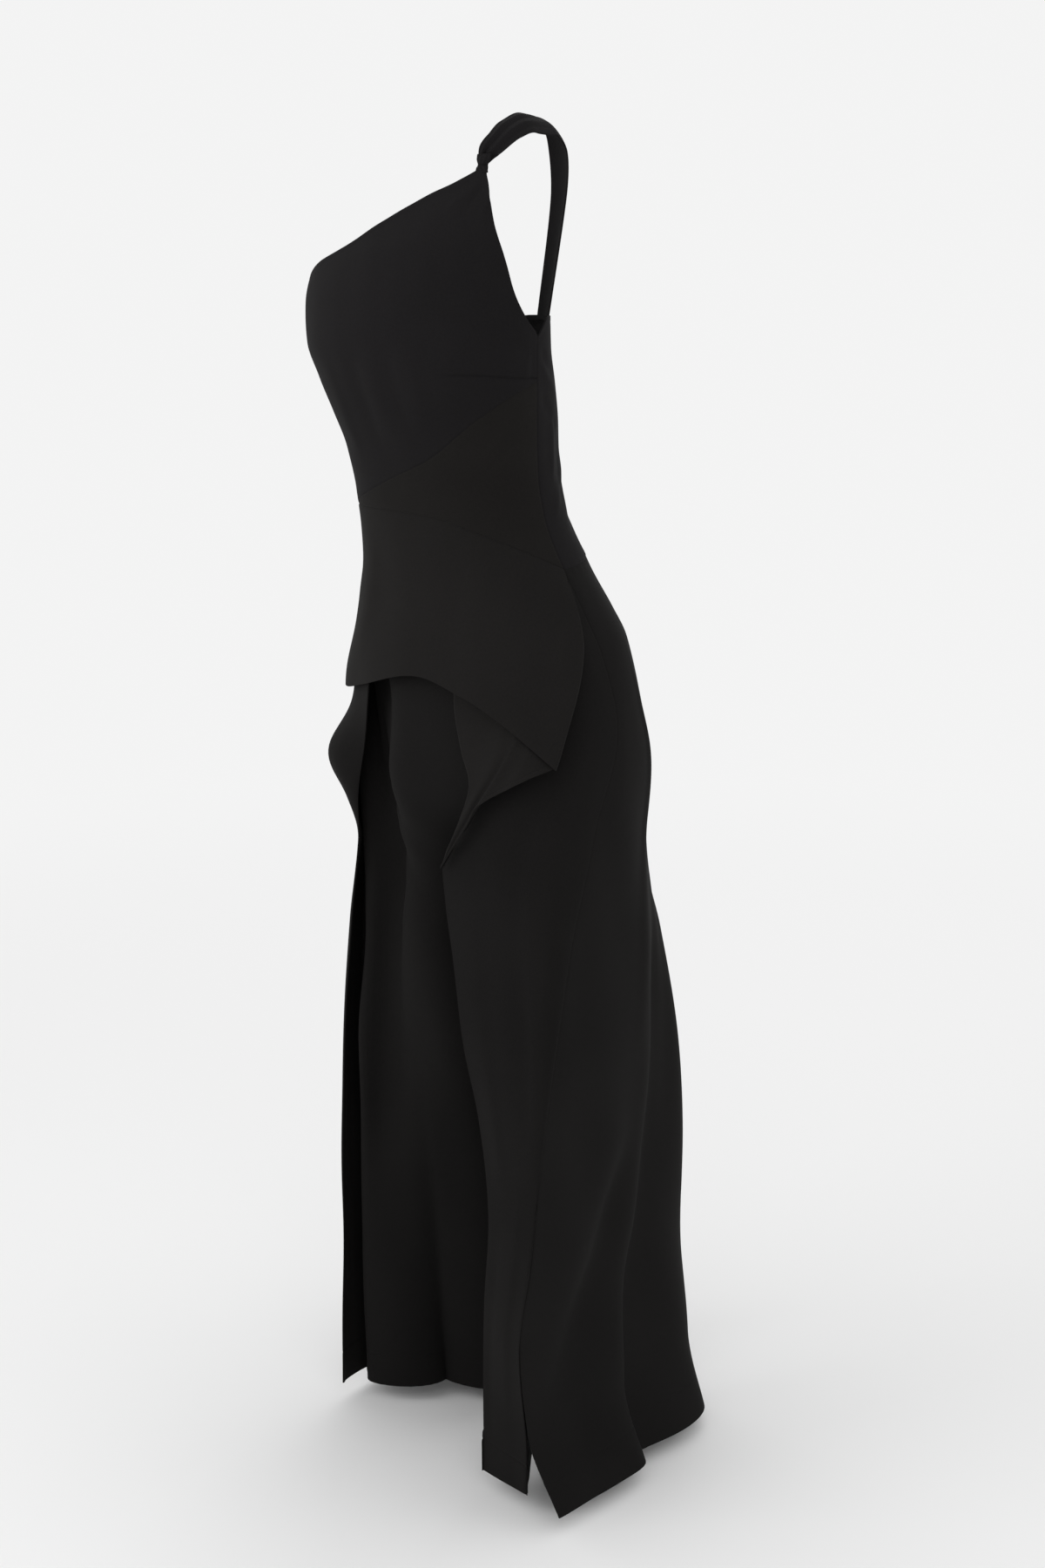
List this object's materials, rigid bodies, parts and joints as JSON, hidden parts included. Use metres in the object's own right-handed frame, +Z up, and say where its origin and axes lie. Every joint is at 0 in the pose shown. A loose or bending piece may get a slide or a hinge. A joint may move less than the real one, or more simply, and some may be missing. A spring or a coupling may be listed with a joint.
{
  "type": "jumpsuit",
  "caption": "One-shoulder wide-leg jumpsuit as worn, with a draped cascading overlay over the hips and down the legs and a side slit at the hem.",
  "frame": {"origin": "the point on top of the wearer's left shoulder that carries the strap, on the strap's underside", "axes": "+Z up, -Y the wearer's front, +X the wearer's left"},
  "size_m": [0.4021, 0.4189, 1.4165],
  "materials": {
    "crepe": "matte crepe"
  },
  "bodies": {
    "root": {"bodice_front": "crepe", "waist_wedge": "crepe", "bodice_back_left": "crepe", "bodice_back_right": "crepe", "overlay_front": "crepe", "cascade_left": "crepe", "overlay_left": "crepe", "overlay_right": "crepe", "leg_left_front": "crepe", "leg_left_back": "crepe", "leg_right_front": "crepe", "leg_right_back": "crepe", "strap_shoulder": "crepe", "strap_pinch": "crepe"}
  },
  "joints": []
}
